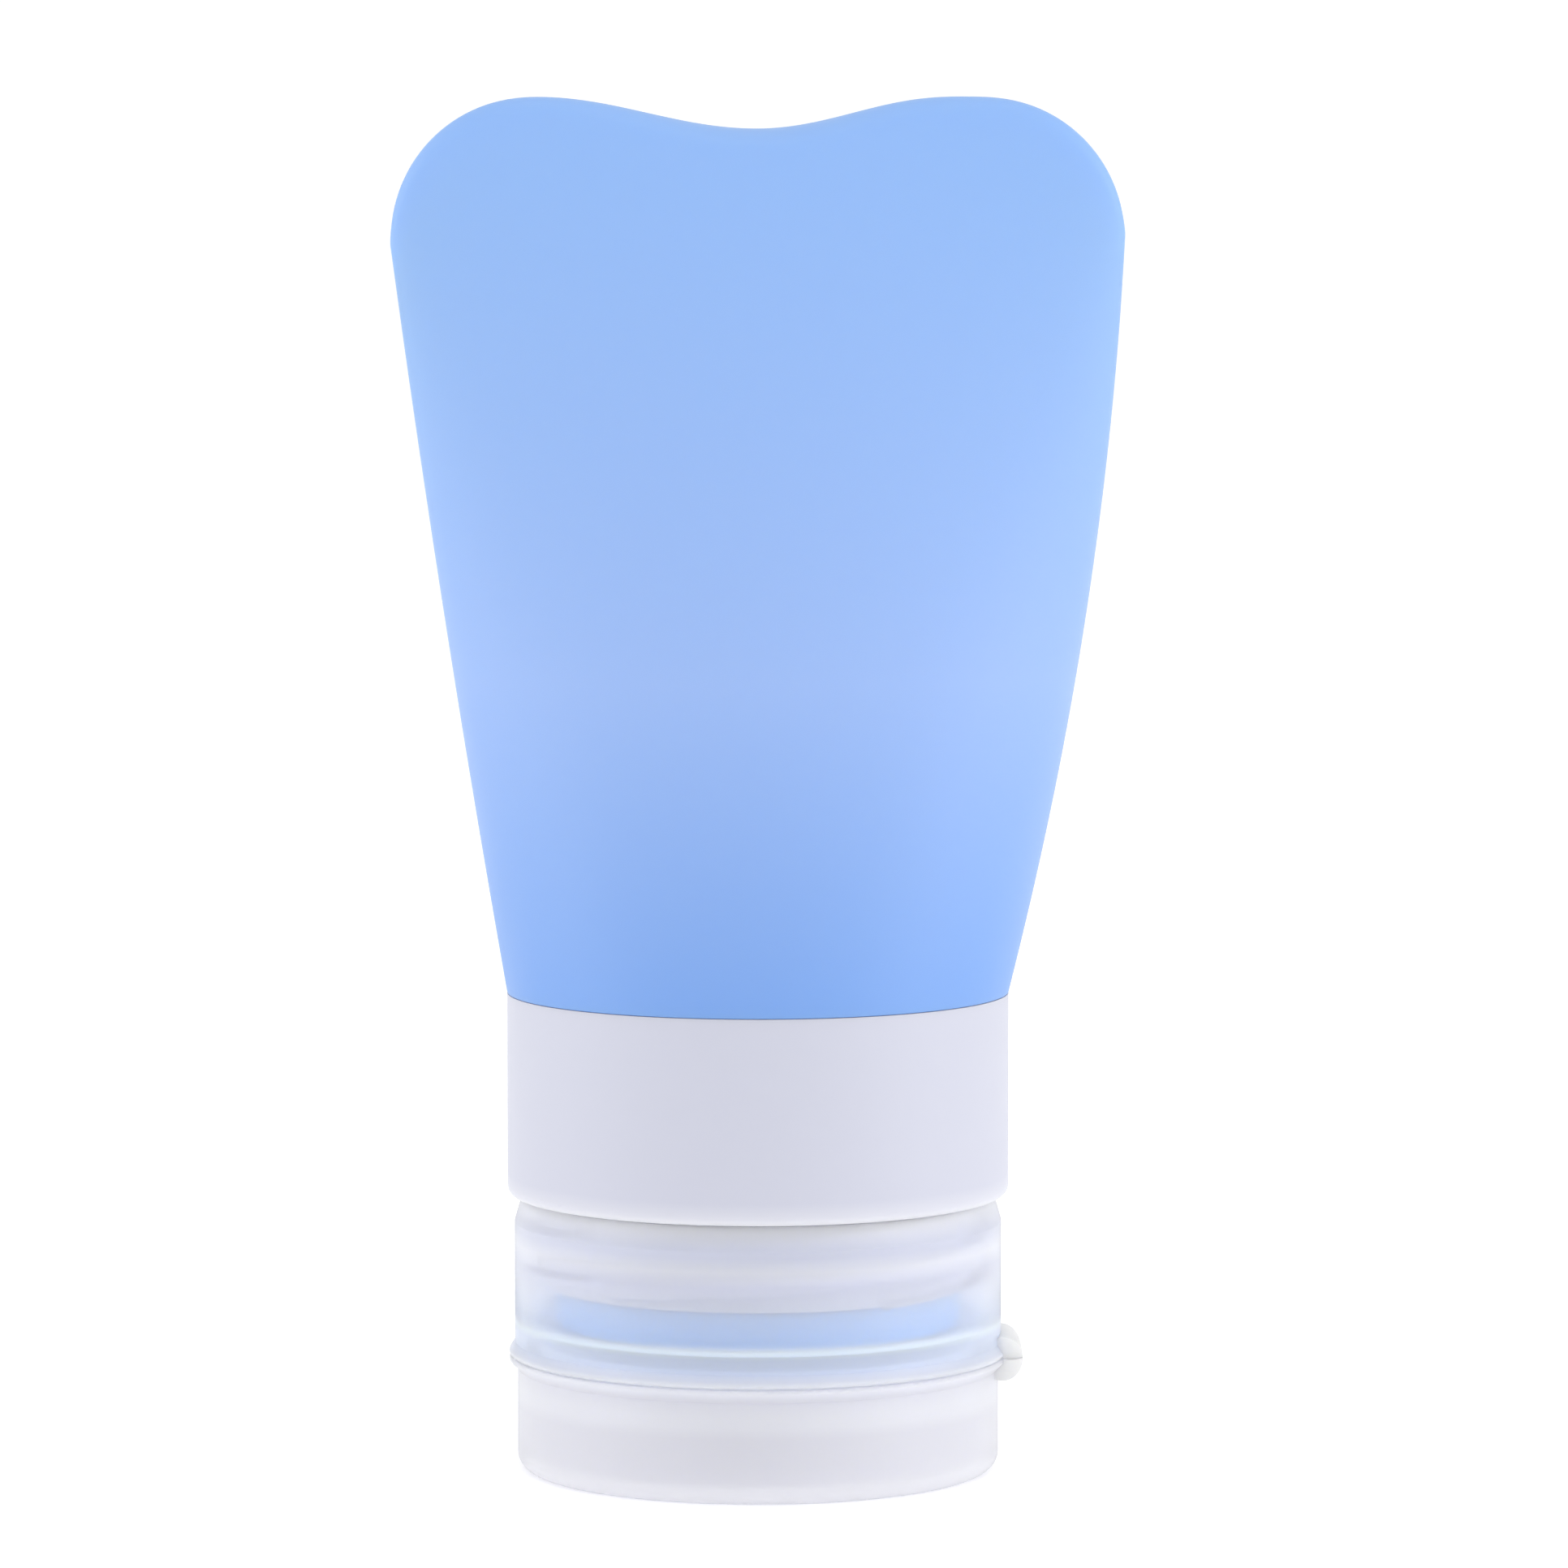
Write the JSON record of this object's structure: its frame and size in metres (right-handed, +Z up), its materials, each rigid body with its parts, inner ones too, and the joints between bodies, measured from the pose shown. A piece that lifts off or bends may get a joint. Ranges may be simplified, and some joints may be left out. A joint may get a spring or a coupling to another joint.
{
  "type": "squeeze bottle",
  "caption": "Soft silicone travel squeeze bottle with a flattened wavy end, a rigid collar and a screw-on flip cap with a slit valve, standing on its cap.",
  "frame": {"origin": "centre of the flip lid's flat outer face, on which the bottle stands", "axes": "+Z up the bottle towards its closed wavy end, +X to the lid's hinge, -Y to the front"},
  "size_m": [0.0534, 0.0366, 0.1],
  "materials": {
    "body_silicone": "satin blue silicone, slightly translucent",
    "collar_plastic": "milky polypropylene, fine matt",
    "cap_plastic": "frosted translucent polypropylene",
    "valve_silicone": "clear soft silicone",
    "retainer_plastic": "white polypropylene"
  },
  "bodies": {
    "bottle": {"squeeze_body": "body_silicone", "body_neck": "body_silicone", "collar": "collar_plastic"},
    "valve_carrier": {"valve_retainer": "retainer_plastic", "slit_valve": "valve_silicone"},
    "cap": {"cap_base": "cap_plastic", "spout": "cap_plastic", "hinge_leaf_base": "cap_plastic"},
    "lid": {"flip_lid": "cap_plastic", "hinge_leaf_lid": "cap_plastic"}
  },
  "joints": [
    {"name": "cap_lift", "type": "slide", "parent": "bottle", "child": "valve_carrier", "axis": [0, 0, -1], "range_m": [0, 0.0091]},
    {"name": "cap_turn", "type": "hinge", "parent": "valve_carrier", "child": "cap", "pos_m": [0, 0, 0.0085], "axis": [0, 0, -1], "range_deg": [0, 540]},
    {"name": "lid_hinge", "type": "hinge", "parent": "cap", "child": "lid", "pos_m": [0.0194, 0, 0.00845], "axis": [0, -1, 0], "range_deg": [0, 180]}
  ],
  "couplings": [
    {"joint": "cap_lift", "follows": "cap_turn", "m_per_rad": 0.00095493}
  ]
}
